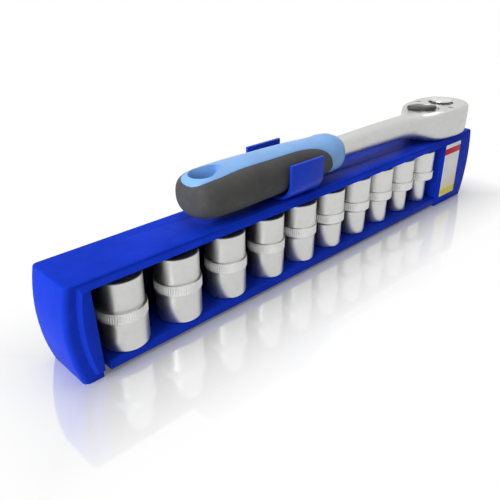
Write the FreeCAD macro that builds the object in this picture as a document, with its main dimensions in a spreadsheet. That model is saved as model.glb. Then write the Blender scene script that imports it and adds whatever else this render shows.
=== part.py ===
import FreeCAD, Part
import math
import os
import types
import Sketcher

V = FreeCAD.Vector
ALONG_X = FreeCAD.Rotation(V(0, 1, 0), V(0, 0, 1), V(1, 0, 0))
LEVER_REST = FreeCAD.Rotation(V(0, 0, 1), -45)
GEAR_TEETH = 36
PAWL_TEETH = 3

doc = FreeCAD.newDocument("socket_set")
sheet = doc.addObject("Spreadsheet::Sheet", "dims")

# Driving dimensions in mm. X runs along the case, the sockets face -Y, the case stands on z = 0.
CASE_SIZES = {
    "case_length": 363.5,
    "case_height": 55.0,
    "case_depth": 32.8,
    "end_bow_radius": 98.0,
    "end_taper": 2.5,
    "end_corner_radius": 3.0,
    "deck_edge_radius": 1.0,
    "frame_proud": 2.6,
    "frame_end_margin": 5.5,
    "frame_end_bevel": 1.2,
    "frame_top_margin": 1.6,
    "frame_top_bevel": 2.1,
    "frame_foot_margin": 4.0,
    "frame_foot_bevel": 1.4,
    "left_post": 11.8,
    "right_block": 44.7,
    "block_wall": 2.4,
    "back_wall": 2.4,
    "floor_thick": 1.9,
    "floor_setback": 8.0,
    "mouth_taper": 2.0,
    "drive_hole_radius": 9.7,
    "tray_height": 5.5,
    "tray_left_gap": 5.0,
    "tray_right_gap": 0.5,
    "tray_back_gap": 2.4,
    "tray_wall": 2.0,
    "tray_edge_chamfer": 0.6,
    "rack_thick": 2.0,
    "rack_gap": 0.3,
    "rib_thick": 3.0,
    "rib_reach": 7.0,
    "label_width": 22.0,
    "label_height": 42.6,
    "label_middle_drop": 25.2,
    "label_thick": 0.3,
    "label_inset": 0.8,
    "clip_drive_gap": 178.5,
    "clip_width": 28.0,
    "clip_half_gap": 17.1,
    "clip_thick": 1.9,
    "clip_base_thick": 1.4,
    "clip_base_half": 9.0,
    "clip_bend_height": 10.0,
    "clip_bend_radius": 11.0,
    "clip_front_height": 22.7,
    "clip_back_height": 28.0,
    "clip_stud_radius": 2.5,
    "clip_barb_radius": 3.3,
    "clip_barb_height": 1.2,
    "slip_gap": 0.06,
}

# Sockets by hexagon size: hexagon end, knurled band and drive end diameters, the share of the recess's length
# that lies to the left of the socket's axis, the height of the band's foot and the headroom under the ceiling.
SOCKETS = {
    19: (26.0, 26.6, 24.0, 0.06824, 16.9, 4.7),
    18: (25.0, 26.2, 24.2, 0.18404, 17.6, 5.2),
    17: (23.4, 24.6, 22.8, 0.29625, 17.3, 4.9),
    16: (22.2, 23.0, 21.4, 0.40375, 17.2, 4.9),
    15: (21.4, 23.2, 22.0, 0.49919, 18.1, 4.7),
    14: (20.2, 23.2, 22.0, 0.59235, 18.4, 3.9),
    13: (18.8, 23.2, 22.0, 0.68485, 18.6, 2.7),
    12: (17.4, 23.2, 22.0, 0.77410, 18.6, 2.7),
    10: (15.6, 23.2, 22.0, 0.86417, 18.5, 2.7),
    8: (14.2, 23.2, 22.0, 0.95635, 19.3, 2.7),
}
SOCKET_SIZES = {
    "socket_y": -3.9,
    "band_height": 5.9,
    "shoulder_height": 2.2,
    "socket_chamfer": 0.9,
    "square_hole": 12.9,
    "square_depth": 16.5,
    "hex_depth": 15.0,
    "hex_fit": 0.15,
    "socket_bore_radius": 3.5,
}

RATCHET_SIZES = {
    "drive_inset": 30.25,
    "head_radius": 20.4,
    "head_height": 24.5,
    "neck_back": 53.0,
    "neck_half": 8.6,
    "neck_rise": 6.8,
    "slope_end_back": 23.0,
    "shaft_above_deck": 15.3,
    "shaft_start_back": 137.0,
    "shaft_start_radius": 7.2,
    "shaft_end_back": 43.0,
    "shaft_end_radius": 8.8,
    "tang_start_back": 201.5,
    "tang_radius": 5.0,
    "cover_rim": 1.8,
    "cover_neck_back": 39.0,
    "cover_neck_half": 8.0,
    "cover_drop": 0.0,
    "lever_shelf_drop": 1.5,
    "lever_shelf_end": 15.0,
    "cover_thick": 3.0,
    "screw_back": 9.9,
    "screw_side": 13.9,
    "screw_radius": 1.5,
    "screw_head_radius": 2.1,
    "screw_head_height": 1.2,
    "screw_length": 9.0,
    "slot_width": 0.7,
    "slot_depth": 0.6,
    "gear_radius": 14.2,
    "gear_gap": 0.4,
    "gear_floor": 3.6,
    "tooth_depth": 0.9,
    "journal_radius": 10.9,
    "hub_radius": 9.4,
    "hub_top_drop": 2.9,
    "running_gap": 0.06,
    "square_drive": 12.6,
    "square_length": 15.0,
    "square_chamfer": 1.0,
    "pin_bore_radius": 3.0,
    "pin_bore_floor": 2.0,
    "pin_radius": 2.2,
    "pin_collar_radius": 2.9,
    "pin_collar_height": 1.6,
    "pin_tail": 0.7,
    "button_radius": 8.0,
    "button_thick": 1.7,
    "button_height": 26.8,
    "spring_outer": 4.4,
    "spring_inner": 3.2,
    "spring_seat_depth": 7.5,
    "spring_gap": 0.2,
    "ball_radius": 2.0,
    "ball_proud": 0.9,
    "ball_height": 7.0,
    "lever_back": 25.9,
    "lever_shaft_radius": 4.0,
    "lever_shaft_floor": 2.0,
    "lever_thick": 2.6,
    "lever_lift": 0.3,
    "lever_arm": 7.6,
    "lever_half": 3.6,
    "lever_end_radius": 3.7,
    "pawl_gap": 0.35,
    "pawl_thick": 4.6,
    "pawl_half_angle": 25.0,
    "pawl_room_angle": 9.0,
    "pawl_rest_angle": 4.0,
    "plunger_radius": 1.4,
    "plunger_length": 4.1,
    "plunger_reach": 6.1,
    "plunger_height": 8.0,
    "plunger_spring_radius": 1.3,
    "plunger_spring_length": 2.8,
    "window_half": 5.9,
    "window_height": 10.0,
}

# Handle stations: distance back from the drive, half width, half height.
HANDLE_STATIONS = [
    (253.0, 5.5, 4.6),
    (251.8, 10.2, 8.4),
    (248.8, 13.4, 11.0),
    (242.0, 15.8, 12.8),
    (229.5, 16.5, 13.2),
    (200.5, 16.0, 13.0),
    (171.5, 14.6, 12.6),
    (149.5, 12.9, 11.8),
    (140.0, 13.1, 12.0),
    (135.5, 12.3, 11.2),
    (133.2, 10.6, 9.6),
]
HANDLE_SIZES = {
    "handle_above_deck": 15.0,
    "inlay_thick": 2.2,
    "zone_half": 18.0,
    "zone_spare": 5.0,
    "stripe_end_half": 8.0,
    "stripe_rise": 2.0,
    "collar_back": 147.7,
    "hang_hole_back": 242.1,
    "hang_hole_radius": 5.8,
    "hang_hole_tip_back": 230.5,
    "hang_hole_tip_half": 2.0,
    "stripe_butt_back": 242.5,
    "stripe_butt_half": 10.2,
    "stripe_waist_back": 223.5,
    "stripe_waist_half": 9.6,
    "stripe_mid_back": 193.5,
    "stripe_mid_half": 9.2,
    "stripe_nose_back": 167.5,
    "stripe_nose_half": 9.0,
    "stripe_nose_end_back": 149.1,
}


class Size:
    """A number kept together with the sheet expression that gives it."""

    def __init__(self, text, value):
        self.text = text
        self.value = value

    def __add__(self, other):
        other = as_size(other)
        return Size(f"({self.text} + {other.text})", self.value + other.value)

    def __sub__(self, other):
        other = as_size(other)
        return Size(f"({self.text} - {other.text})", self.value - other.value)

    def __mul__(self, other):
        other = as_size(other)
        return Size(f"({self.text} * {other.text})", self.value * other.value)

    def __truediv__(self, other):
        other = as_size(other)
        return Size(f"({self.text} / {other.text})", self.value / other.value)

    def __neg__(self):
        return Size(f"(0 - {self.text})", -self.value)


def as_size(number):
    return number if isinstance(number, Size) else Size(f"{float(number):.6f}", float(number))


def add_sizes(values):
    for name, value in values.items():
        cell = f"A{len(cells) + 1}"
        sheet.set(cell, str(value))
        sheet.setAlias(cell, name)
        cells[name] = Size(f"dims.{name}", value)


cells = {}
add_sizes(CASE_SIZES)
add_sizes(SOCKET_SIZES)
for across, (hex_end, band, drive_end, share, band_low, headroom) in SOCKETS.items():
    add_sizes({
        f"hex_{across}_across": float(across),
        f"hex_{across}_end": hex_end,
        f"hex_{across}_band": band,
        f"hex_{across}_drive": drive_end,
        f"hex_{across}_share": share,
        f"hex_{across}_band_low": band_low,
        f"hex_{across}_headroom": headroom,
    })
add_sizes(RATCHET_SIZES)
add_sizes(HANDLE_SIZES)
for number, (back, half_width, half_height) in enumerate(HANDLE_STATIONS):
    add_sizes({
        f"station_{number}_back": back,
        f"station_{number}_width": half_width,
        f"station_{number}_height": half_height,
    })
doc.recompute()
d = types.SimpleNamespace(**cells)

# Levels and faces shared by several pieces.
back_y = (d.case_depth + d.frame_proud) / 2
front_y = -back_y
rim_y = front_y + d.frame_proud
deck_z = d.case_height
deck_thick = d.frame_top_margin + d.frame_top_bevel
ceiling_z = deck_z - deck_thick
shelf_z = d.floor_thick + d.tray_height
post_x = d.left_post - d.case_length / 2
block_x = d.case_length / 2 - d.right_block
drive_x = d.case_length / 2 - d.drive_inset
neck_x = drive_x - d.neck_back
slope_end_x = drive_x - d.slope_end_back
shaft_start_x = drive_x - d.shaft_start_back
shaft_end_x = drive_x - d.shaft_end_back
tang_start_x = drive_x - d.tang_start_back
cover_neck_x = drive_x - d.cover_neck_back
collar_x = drive_x - d.collar_back
hang_hole_x = drive_x - d.hang_hole_back
hang_hole_tip_x = drive_x - d.hang_hole_tip_back
stripe_butt_x = drive_x - d.stripe_butt_back
stripe_waist_x = drive_x - d.stripe_waist_back
stripe_mid_x = drive_x - d.stripe_mid_back
stripe_nose_x = drive_x - d.stripe_nose_back
stripe_nose_end_x = drive_x - d.stripe_nose_end_back
clip_x = drive_x - d.clip_drive_gap
head_z = deck_z
head_top_z = head_z + d.head_height
gear_z = head_z + d.gear_floor
cover_top_z = head_top_z - d.cover_drop
cover_z = cover_top_z - d.cover_thick
gear_top_z = cover_z - d.gear_gap
square_end_z = head_z - d.square_length
lever_x = drive_x - d.lever_back
shelf_top_z = head_top_z - d.lever_shelf_drop
handle_z = deck_z + d.handle_above_deck
shaft_z = deck_z + d.shaft_above_deck
plunger_start = d.plunger_reach - d.plunger_length


def socket_x(across):
    return post_x + (block_x - post_x) * cells[f"hex_{across}_share"]


def station_x(number):
    return drive_x - cells[f"station_{number}_back"]


def bind(thing, name, size):
    thing.setExpression(name, as_size(size).text)


def place(thing, x, y, z):
    bind(thing, "Placement.Base.x", x)
    bind(thing, "Placement.Base.y", y)
    bind(thing, "Placement.Base.z", z)
    return thing


def box(name, corner, length, width, height):
    thing = doc.addObject("Part::Box", name)
    bind(thing, "Length", length)
    bind(thing, "Width", width)
    bind(thing, "Height", height)
    return place(thing, *corner)


def cylinder(name, base, radius, height, turn=None):
    thing = doc.addObject("Part::Cylinder", name)
    if turn is not None:
        thing.Placement = FreeCAD.Placement(V(0, 0, 0), turn)
    bind(thing, "Radius", radius)
    bind(thing, "Height", height)
    return place(thing, *base)


def cone(name, base, low_radius, high_radius, height, turn=None):
    thing = doc.addObject("Part::Cone", name)
    if turn is not None:
        thing.Placement = FreeCAD.Placement(V(0, 0, 0), turn)
    bind(thing, "Radius1", low_radius)
    bind(thing, "Radius2", high_radius)
    bind(thing, "Height", height)
    return place(thing, *base)


def fuse(name, *pieces):
    thing = doc.addObject("Part::MultiFuse", name)
    thing.Shapes = list(pieces)
    return thing


def cut(name, base, *tools):
    thing = doc.addObject("Part::Cut", name)
    thing.Base = base
    thing.Tool = tools[0] if len(tools) == 1 else fuse(f"{name}_tools", *tools)
    return thing


def arc_between(start, end, radius):
    """The shorter arc from start to end, bulging to the right of the way."""
    way = end - start
    right = V(way.y, -way.x, 0)
    right.normalize()
    drop = radius - math.sqrt(radius * radius - way.Length * way.Length / 4)
    return Part.Arc(start, (start + end) * 0.5 + right * drop, end)


def outline(sketch, corners, bows=None):
    """A closed outline, drawn anticlockwise, whose corners are held by sheet expressions.

    bows gives an edge number the radius of its arc, below zero where the edge is hollow.
    """
    bows = bows or {}
    points = [V(as_size(x).value, as_size(y).value, 0) for x, y in corners]
    first = sketch.GeometryCount
    count = len(points)
    starts = []
    for number in range(count):
        start = points[number]
        end = points[(number + 1) % count]
        hollow = number in bows and bows[number].value < 0
        if hollow:
            sketch.addGeometry(arc_between(end, start, -bows[number].value))
        elif number in bows:
            sketch.addGeometry(arc_between(start, end, bows[number].value))
        else:
            sketch.addGeometry(Part.LineSegment(start, end))
        starts.append((2, 1) if hollow else (1, 2))
    for number in range(count):
        after = (number + 1) % count
        sketch.addConstraint(Sketcher.Constraint(
            "Coincident", first + number, starts[number][1], first + after, starts[after][0]))
    for number, (x, y) in enumerate(corners):
        for kind, size in (("DistanceX", as_size(x)), ("DistanceY", as_size(y))):
            held = sketch.addConstraint(Sketcher.Constraint(
                kind, -1, 1, first + number, starts[number][0], size.value))
            bind(sketch, f"Constraints[{held}]", size)
    for number, radius in bows.items():
        size = radius if radius.value > 0 else -radius
        held = sketch.addConstraint(Sketcher.Constraint("Radius", first + number, size.value))
        bind(sketch, f"Constraints[{held}]", size)
    return sketch


def circle(sketch, x, y, radius):
    x, y, radius = as_size(x), as_size(y), as_size(radius)
    number = sketch.addGeometry(Part.Circle(V(x.value, y.value, 0), V(0, 0, 1), radius.value))
    for kind, size in (("DistanceX", x), ("DistanceY", y)):
        held = sketch.addConstraint(Sketcher.Constraint(kind, -1, 1, number, 3, size.value))
        bind(sketch, f"Constraints[{held}]", size)
    held = sketch.addConstraint(Sketcher.Constraint("Radius", number, radius.value))
    bind(sketch, f"Constraints[{held}]", radius)
    return sketch


def body_named(name):
    return doc.addObject("PartDesign::Body", name)


def plane_sketch(body, name, role, offset):
    sketch = body.newObject("Sketcher::SketchObject", name)
    plane = next(feature for feature in body.Origin.OriginFeatures if feature.Role == role)
    sketch.AttachmentSupport = [(plane, "")]
    sketch.MapMode = "FlatFace"
    bind(sketch, "AttachmentOffset.Base.z", offset)
    return sketch


def pad(body, name, sketch, length, reverse=False):
    feature = body.newObject("PartDesign::Pad", name)
    feature.Profile = sketch
    feature.Reversed = reverse
    bind(feature, "Length", length)
    doc.recompute()
    return feature


def pocket(body, name, sketch, length, reverse=False):
    feature = body.newObject("PartDesign::Pocket", name)
    feature.Profile = sketch
    feature.Reversed = reverse
    bind(feature, "Length", length)
    doc.recompute()
    return feature


def dress(body, kind, name, before, edges, size):
    feature = body.newObject(f"PartDesign::{kind}", name)
    feature.Base = (before, edges)
    bind(feature, "Radius" if kind == "Fillet" else "Size", size)
    doc.recompute()
    return feature


def edges_where(feature, test):
    return [f"Edge{number + 1}" for number, edge in enumerate(feature.Shape.Edges) if test(edge)]


def rectangle(x_low, x_high, y_low, y_high):
    return [(x_low, y_low), (x_high, y_low), (x_high, y_high), (x_low, y_high)]


def extrude(name, sketch, length):
    thing = doc.addObject("Part::Extrusion", name)
    thing.Base = sketch
    thing.DirMode = "Normal"
    thing.Solid = True
    bind(thing, "LengthFwd", length)
    return thing


def flat_sketch(name, z):
    return place(doc.addObject("Sketcher::SketchObject", name), 0, 0, z)


def upright_sketch(name, y):
    sketch = doc.addObject("Sketcher::SketchObject", name)
    sketch.Placement = FreeCAD.Placement(V(0, 0, 0), FreeCAD.Rotation(V(1, 0, 0), 90))
    return place(sketch, 0, y, 0)


def end_outline(sketch, margin, low, high):
    """The bowed front outline of the case, drawn in by margin at both ends."""
    half = d.case_length / 2 - margin
    foot = half - d.end_taper
    corners = [(-foot, low), (foot, low), (half, high), (-half, high)]
    return outline(sketch, corners, {1: d.end_bow_radius, 3: d.end_bow_radius})


def make_case_shell():
    body = body_named("case_shell")
    end_outline(plane_sketch(body, "shell_outline", "XZ_Plane", -back_y), 0, 0, d.case_height)
    block = pad(body, "shell_block", body.getObject("shell_outline"), d.case_depth)
    bow = d.end_bow_radius.value
    uprights = edges_where(block, lambda edge: hasattr(edge.Curve, "Radius") and abs(edge.Curve.Radius - bow) < 1e-3)
    corners = dress(body, "Fillet", "shell_corners", block, uprights, d.end_corner_radius)
    height = d.case_height.value
    rims = edges_where(corners, lambda edge: edge.BoundBox.ZMin > height - 0.01)
    dress(body, "Fillet", "deck_edges", corners, rims, d.deck_edge_radius)

    low = plane_sketch(body, "frame_root", "XZ_Plane", -rim_y)
    end_outline(low, d.frame_end_margin, d.frame_foot_margin, deck_z - d.frame_top_margin)
    high = plane_sketch(body, "frame_face", "XZ_Plane", -front_y)
    end_outline(high, d.frame_end_margin + d.frame_end_bevel, d.frame_foot_margin + d.frame_foot_bevel, ceiling_z)
    frame = body.newObject("PartDesign::AdditiveLoft", "front_frame")
    frame.Profile = low
    frame.Sections = [high]
    frame.Ruled = True
    doc.recompute()

    mouth = plane_sketch(body, "recess_mouth", "XZ_Plane", -front_y + 1)
    lean = d.mouth_taper / 2
    outline(mouth, [
        (post_x + lean, d.floor_thick), (block_x, d.floor_thick), (block_x, ceiling_z), (post_x - lean, ceiling_z),
    ])
    pocket(body, "socket_recess", mouth, back_y * 2 - d.back_wall + 1)

    gap = plane_sketch(body, "floor_gap_outline", "XY_Plane", 0)
    outline(gap, rectangle(post_x + lean, block_x, front_y - 1, rim_y + d.floor_setback))
    pocket(body, "floor_gap", gap, d.floor_thick, reverse=True)

    core = plane_sketch(body, "block_core", "XY_Plane", 0)
    far_x = d.case_length / 2 - d.end_taper - d.block_wall
    outline(core, rectangle(block_x + d.block_wall, far_x, rim_y + d.block_wall, back_y - d.back_wall))
    pocket(body, "block_hollow", core, ceiling_z, reverse=True)

    holes = plane_sketch(body, "deck_hole_circles", "XY_Plane", deck_z + 1)
    circle(holes, drive_x, 0, d.drive_hole_radius)
    circle(holes, clip_x, 0, d.clip_stud_radius + d.slip_gap)
    pocket(body, "deck_holes", holes, deck_thick + 2)
    return body


def make_socket_tray():
    body = body_named("socket_tray")
    left = post_x + d.tray_left_gap
    right = block_x - d.tray_right_gap
    back = back_y - d.back_wall - d.tray_back_gap
    floor = plane_sketch(body, "tray_outline", "XY_Plane", d.floor_thick)
    outline(floor, rectangle(left, right, rim_y, back))
    block = pad(body, "tray_block", floor, d.tray_height)
    top = shelf_z.value
    front = rim_y.value
    lip = edges_where(block, lambda edge: edge.BoundBox.ZMin > top - 0.01 and edge.BoundBox.YMax < front + 0.01)
    dress(body, "Chamfer", "tray_lip", block, lip, d.tray_edge_chamfer)
    under = plane_sketch(body, "tray_underside", "XY_Plane", d.floor_thick)
    wall = d.tray_wall
    outline(under, rectangle(left + wall, right - wall, rim_y + wall, back - wall))
    pocket(body, "tray_hollow", under, d.tray_height - wall, reverse=True)
    return body


def make_divider_rack():
    rack_back = back_y - d.back_wall
    rack_front = rack_back - d.rack_thick
    low = shelf_z + d.rack_gap
    height = ceiling_z - low
    left = post_x + d.mouth_taper / 2 + d.rack_gap
    plate = box("rack_plate", (left, rack_front, low), block_x - d.rack_gap - left, d.rack_thick, height)
    ribs = []
    placed = [socket_x(across) for across in SOCKETS]
    for number, (here, following) in enumerate(zip(placed, placed[1:])):
        middle = (here + following) / 2
        corner = (middle - d.rib_thick / 2, rack_front - d.rib_reach, low)
        ribs.append(box(f"rack_rib_{number + 1}", corner, d.rib_thick, d.rib_reach + d.rack_thick / 2, height))
    return fuse("divider_rack", plate, *ribs)


def make_label_plate():
    low = deck_z - d.label_middle_drop - d.label_height / 2
    corner = (block_x + d.label_inset, front_y - d.label_thick, low)
    return box("label_plate", corner, d.label_width, d.label_thick, d.label_height)


def make_tool_clip():
    body = body_named("tool_clip")
    inner = d.clip_half_gap
    outer = inner + d.clip_thick
    half = d.clip_base_half
    bend = deck_z + d.clip_bend_height
    inner_floor = deck_z + d.clip_base_thick
    front_top = deck_z + d.clip_front_height
    back_top = deck_z + d.clip_back_height
    corners = [
        (-half, deck_z), (half, deck_z), (outer, bend), (outer, back_top), (inner, back_top), (inner, bend),
        (half, inner_floor), (-half, inner_floor), (-inner, bend), (-inner, front_top), (-outer, front_top),
        (-outer, bend),
    ]
    curl = d.clip_bend_radius
    section = plane_sketch(body, "clip_section", "YZ_Plane", clip_x - d.clip_width / 2)
    outline(section, corners, {1: curl, 5: -curl, 7: -curl, 11: curl})
    pad(body, "clip_band", section, d.clip_width)
    stud = plane_sketch(body, "clip_stud_circle", "XY_Plane", deck_z + d.clip_base_thick / 2)
    circle(stud, clip_x, 0, d.clip_stud_radius)
    pad(body, "clip_stud", stud, deck_thick + d.clip_base_thick / 2 + d.clip_barb_height, reverse=True)
    barb = plane_sketch(body, "clip_barb_circle", "XY_Plane", ceiling_z)
    circle(barb, clip_x, 0, d.clip_barb_radius)
    pad(body, "clip_barb", barb, d.clip_barb_height, reverse=True)
    return body


def make_socket(across):
    body = body_named(f"socket_{across}mm")
    hex_end = cells[f"hex_{across}_end"] / 2
    band = cells[f"hex_{across}_band"] / 2
    drive_end = cells[f"hex_{across}_drive"] / 2
    chamfer = d.socket_chamfer
    top = ceiling_z - shelf_z - cells[f"hex_{across}_headroom"]
    band_low = cells[f"hex_{across}_band_low"]
    band_top = band_low + d.band_height
    turned = plane_sketch(body, f"turned_outline_{across}", "XZ_Plane", 0)
    outline(turned, [
        (0, 0), (hex_end - chamfer, 0), (hex_end, chamfer), (hex_end, band_low - d.shoulder_height),
        (band, band_low), (band, band_top), (drive_end, band_top), (drive_end, top - chamfer),
        (drive_end - chamfer, top), (0, top),
    ])
    turning = body.newObject("PartDesign::Revolution", f"turned_body_{across}")
    turning.Profile = turned
    turning.ReferenceAxis = (turned, ["V_Axis"])
    turning.Angle = 360
    doc.recompute()

    half = d.square_hole / 2
    square = plane_sketch(body, f"square_outline_{across}", "XY_Plane", top)
    outline(square, rectangle(-half, half, -half, half))
    pocket(body, f"square_hole_{across}", square, d.square_depth)

    flat = (cells[f"hex_{across}_across"] + d.hex_fit) / 2
    point = flat / math.cos(math.radians(30))
    hexagon = plane_sketch(body, f"hex_outline_{across}", "XY_Plane", 0)
    outline(hexagon, [
        (point, 0), (point / 2, flat), (-point / 2, flat), (-point, 0), (-point / 2, -flat), (point / 2, -flat),
    ])
    pocket(body, f"hex_hole_{across}", hexagon, d.hex_depth, reverse=True)

    bore = plane_sketch(body, f"bore_circle_{across}", "XY_Plane", top)
    circle(bore, 0, 0, d.socket_bore_radius)
    pocket(body, f"through_bore_{across}", bore, top)
    return place(body, socket_x(across), d.socket_y, shelf_z)


def pear_outline(sketch, radius, end_x, end_half):
    """Round at the drive, with straight sides to the neck; the sides meet the round where they touch it."""
    lean = math.asin((radius.value - end_half.value) / (drive_x.value - end_x.value))
    touch_x = drive_x - radius * math.sin(lean)
    touch_y = radius * math.cos(lean)
    tip_x = drive_x + radius
    corners = [(end_x, -end_half), (touch_x, -touch_y), (tip_x, 0), (touch_x, touch_y), (end_x, end_half)]
    return outline(sketch, corners, {1: radius, 2: radius})


def sector(name, base_z, inner, outer, half_angle, height, turn=0):
    """A piece of ring around the drive axis, on the neck side."""
    start = FreeCAD.Rotation(V(0, 0, 1), 180 - half_angle.value + turn)
    ring = cylinder(f"{name}_outer", (drive_x, 0, base_z), outer, height, start)
    bind(ring, "Angle", half_angle * 2)
    hole = cylinder(f"{name}_inner", (drive_x, 0, base_z), inner, height)
    return cut(name, ring, hole)


def screw_places():
    return [(drive_x - d.screw_back, -d.screw_side), (drive_x - d.screw_back, d.screw_side)]


def lever_shelf(name):
    """The lower step of the head's top, on the neck side, that the reversing lever swings over."""
    length = drive_x - d.lever_shelf_end - shaft_start_x
    return box(name, (shaft_start_x, -d.head_radius * 2, shelf_top_z), length, d.head_radius * 4, d.head_height)


def make_ratchet_forging():
    block = extrude("head_block", pear_outline(flat_sketch("head_outline", head_z), d.head_radius, neck_x, d.neck_half),
                    d.head_height)
    slope = upright_sketch("neck_slope_outline", d.head_radius * 2)
    low = head_z - 1
    outline(slope, [
        (neck_x - 1, low), (slope_end_x, low), (slope_end_x, head_z), (neck_x - 1, head_z + d.neck_rise),
    ])
    head = cut("sloped_head", block, extrude("neck_slope", slope, d.head_radius * 4))
    shaft = cone("shaft_taper", (shaft_start_x, 0, shaft_z), d.shaft_start_radius, d.shaft_end_radius,
                 shaft_end_x - shaft_start_x, ALONG_X)
    tang = cylinder("tang_bar", (tang_start_x, 0, shaft_z), d.tang_radius, shaft_start_x - tang_start_x + 1,
                    ALONG_X)
    blank = fuse("forging_blank", head, shaft, tang)

    seat = extrude("cover_seat", pear_outline(flat_sketch("cover_seat_outline", cover_z), d.head_radius - d.cover_rim,
                                              cover_neck_x, d.cover_neck_half), d.head_height)
    gear_room = cylinder("gear_room", (drive_x, 0, gear_z), d.gear_radius + d.gear_gap, d.head_height)
    journal = cylinder("journal_bore", (drive_x, 0, head_z - 1), d.journal_radius + d.running_gap, d.head_height)
    room = d.gear_radius + d.pawl_gap
    pawl_room = sector("pawl_room", gear_z, room - 1, room + d.pawl_thick + d.gear_gap,
                       d.pawl_half_angle + d.pawl_room_angle, cover_z - gear_z + 1)
    lever_bore = cylinder("lever_bore", (lever_x, 0, gear_z), d.lever_shaft_radius + d.running_gap, d.head_height)
    window = box("plunger_window", (lever_x, -d.window_half, gear_z + d.plunger_height - d.window_height / 2),
                 d.lever_back - d.gear_radius, d.window_half * 2, d.window_height)
    threads = [
        cylinder(f"screw_thread_{number}", (x, y, cover_z - d.screw_length), d.screw_radius, d.screw_length + 1)
        for number, (x, y) in enumerate(screw_places())
    ]
    return cut("ratchet_forging", blank, seat, gear_room, journal, pawl_room, lever_bore, window,
               lever_shelf("forging_shelf"), *threads)


def make_head_cover():
    fit = d.slip_gap
    plate = extrude("cover_plate", pear_outline(flat_sketch("cover_outline", cover_z), d.head_radius - d.cover_rim - fit,
                                                cover_neck_x + fit, d.cover_neck_half - fit), d.cover_thick)
    hub_hole = cylinder("hub_hole", (drive_x, 0, cover_z - 1), d.hub_radius + d.running_gap, d.cover_thick + 2)
    lever_hole = cylinder("lever_hole", (lever_x, 0, cover_z - 1), d.lever_shaft_radius + d.running_gap,
                          d.cover_thick + 2)
    holes = []
    for number, (x, y) in enumerate(screw_places()):
        holes.append(cylinder(f"cover_screw_hole_{number}", (x, y, cover_z - 1), d.screw_radius + fit, d.cover_thick + 2))
        holes.append(cylinder(f"cover_screw_sink_{number}", (x, y, cover_top_z - d.screw_head_height),
                              d.screw_head_radius + fit, d.screw_head_height + 1))
    return cut("head_cover", plate, hub_hole, lever_hole, lever_shelf("cover_shelf"), *holes)


def make_cover_screws():
    screws = []
    for number, (x, y) in enumerate(screw_places()):
        length = d.screw_length + d.cover_thick - d.screw_head_height - d.gear_gap
        shank = cylinder(f"screw_shank_{number}", (x, y, cover_top_z - d.screw_head_height - length),
                         d.screw_radius, length + d.screw_head_height / 2)
        head = cylinder(f"screw_head_{number}", (x, y, cover_top_z - d.screw_head_height), d.screw_head_radius,
                        d.screw_head_height)
        slot = box(f"screw_slot_{number}", (x - d.screw_head_radius, y - d.slot_width / 2, cover_top_z - d.slot_depth),
                   d.screw_head_radius * 2, d.slot_width, d.slot_depth * 2)
        screws.append(cut(f"cover_screw_{number}", fuse(f"screw_blank_{number}", shank, head), slot))
    group = doc.addObject("Part::Compound", "cover_screws")
    group.Links = screws
    return group


def make_drive_gear():
    body = body_named("drive_gear")
    rim = plane_sketch(body, "gear_circle", "XY_Plane", gear_z + d.running_gap)
    circle(rim, 0, 0, d.gear_radius)
    pad(body, "gear_blank", rim, gear_top_z - gear_z - d.running_gap)

    tooth = plane_sketch(body, "tooth_gap_outline", "XY_Plane", gear_top_z)
    root = d.gear_radius - d.tooth_depth
    half = d.gear_radius * (math.pi / GEAR_TEETH)
    outline(tooth, [(root, 0), (d.gear_radius + 1, -half * 1.6), (d.gear_radius + 1, half * 1.6)])
    gap = pocket(body, "tooth_gap", tooth, d.head_height)
    teeth = body.newObject("PartDesign::PolarPattern", "gear_teeth")
    teeth.Originals = [gap]
    teeth.Axis = (tooth, ["N_Axis"])
    teeth.Angle = 360
    teeth.Occurrences = GEAR_TEETH
    body.Tip = teeth
    doc.recompute()

    journal = plane_sketch(body, "journal_circle", "XY_Plane", gear_z + d.running_gap)
    circle(journal, 0, 0, d.journal_radius)
    pad(body, "journal", journal, d.gear_floor + d.running_gap, reverse=True)
    hub = plane_sketch(body, "hub_circle", "XY_Plane", gear_top_z)
    circle(hub, 0, 0, d.hub_radius)
    pad(body, "hub", hub, head_top_z - d.hub_top_drop - gear_top_z)
    side = d.square_drive / 2
    square = plane_sketch(body, "square_drive_outline", "XY_Plane", head_z)
    outline(square, rectangle(-side, side, -side, side))
    post = pad(body, "square_post", square, d.square_length, reverse=True)
    end = square_end_z.value
    rims = edges_where(post, lambda edge: edge.BoundBox.ZMax < end + 0.01)
    dress(body, "Chamfer", "square_end", post, rims, d.square_chamfer)

    bore = plane_sketch(body, "pin_bore_circle", "XY_Plane", head_top_z)
    circle(bore, 0, 0, d.pin_bore_radius)
    pocket(body, "pin_bore", bore, head_top_z - square_end_z - d.pin_bore_floor)
    seat = plane_sketch(body, "spring_seat_circle", "XY_Plane", head_top_z)
    circle(seat, 0, 0, d.spring_outer + d.spring_gap)
    pocket(body, "spring_seat", seat, d.hub_top_drop + d.spring_seat_depth)
    ball = plane_sketch(body, "ball_hole_circle", "XZ_Plane", 0)
    circle(ball, 0, square_end_z + d.ball_height, d.ball_radius + d.running_gap)
    pocket(body, "ball_hole", ball, side + 1, reverse=True)
    return place(body, drive_x, 0, 0)


def make_release_button():
    top = deck_z + d.button_height
    under = top - d.button_thick
    disc = cylinder("button_disc", (drive_x, 0, under), d.button_radius, d.button_thick)
    low = square_end_z + d.ball_height - d.pin_collar_height / 2 - d.pin_tail
    pin = cylinder("button_pin", (drive_x, 0, low), d.pin_radius, under - low + d.button_thick / 2)
    collar = cylinder("button_collar", (drive_x, 0, low + d.pin_tail), d.pin_collar_radius, d.pin_collar_height)
    return fuse("release_button", disc, pin, collar)


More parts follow.
